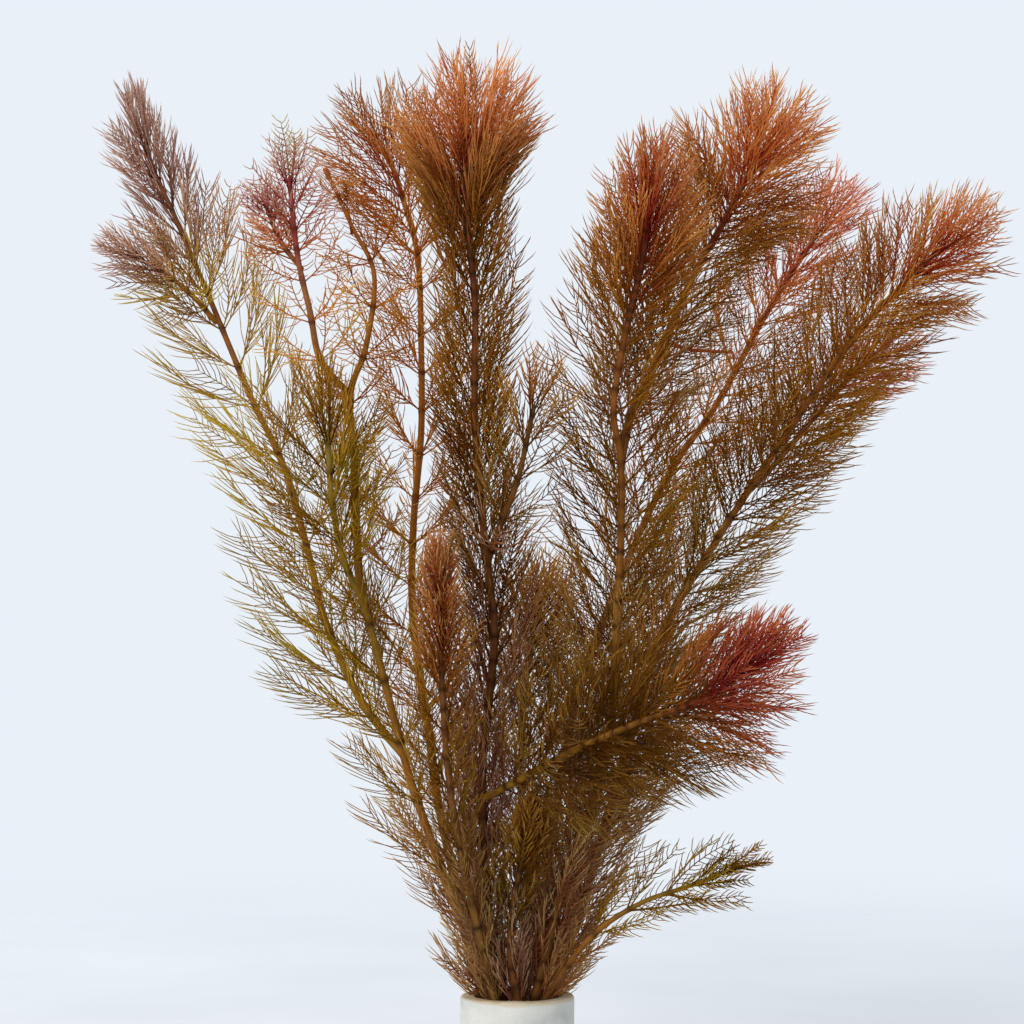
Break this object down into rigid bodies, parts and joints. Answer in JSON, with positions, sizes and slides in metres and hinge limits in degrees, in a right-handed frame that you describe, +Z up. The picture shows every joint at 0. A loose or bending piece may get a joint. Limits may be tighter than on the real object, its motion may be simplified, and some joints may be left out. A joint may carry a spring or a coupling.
{
  "type": "red milfoil bunch in a plant ring",
  "caption": "Upright bunch of red milfoil stems with whorled feather leaves, fanned out from a wool plug in a short ceramic plant ring.",
  "frame": {"origin": "centre of the plant ring's flat underside", "axes": "+Z up out of the ring, +X to the right and +Y away from the viewer as the picture shows the bunch"},
  "size_m": [0.2483, 0.1159, 0.2755],
  "materials": {
    "ring_clay": "matte",
    "wool": "matte",
    "olive_foliage": "satin",
    "mauve_foliage": "satin",
    "orange_foliage": "satin",
    "rose_foliage": "satin",
    "brown_foliage": "satin",
    "crimson_foliage": "satin",
    "rust_foliage": "satin",
    "salmon_foliage": "satin"
  },
  "bodies": {
    "root": {"ceramic_ring": "ring_clay", "wool_plug": "wool", "left_stem": "olive_foliage", "far_left_shoot": "mauve_foliage", "far_left_side_shoot": "mauve_foliage", "broken_tip_shoot": "orange_foliage", "rose_shoot": "rose_foliage", "rose_side_shoot": "rose_foliage", "feathery_stem": "orange_foliage", "tall_stem": "brown_foliage", "tall_side_shoot": "brown_foliage", "crimson_shoot": "crimson_foliage", "inner_stem": "brown_foliage", "right_stem": "rust_foliage", "right_fork_shoot": "rust_foliage", "back_stem": "salmon_foliage", "far_right_stem": "rust_foliage", "far_right_side_shoot": "salmon_foliage", "low_stem": "olive_foliage", "short_front_stem": "brown_foliage", "middle_stem": "brown_foliage"}
  },
  "joints": []
}
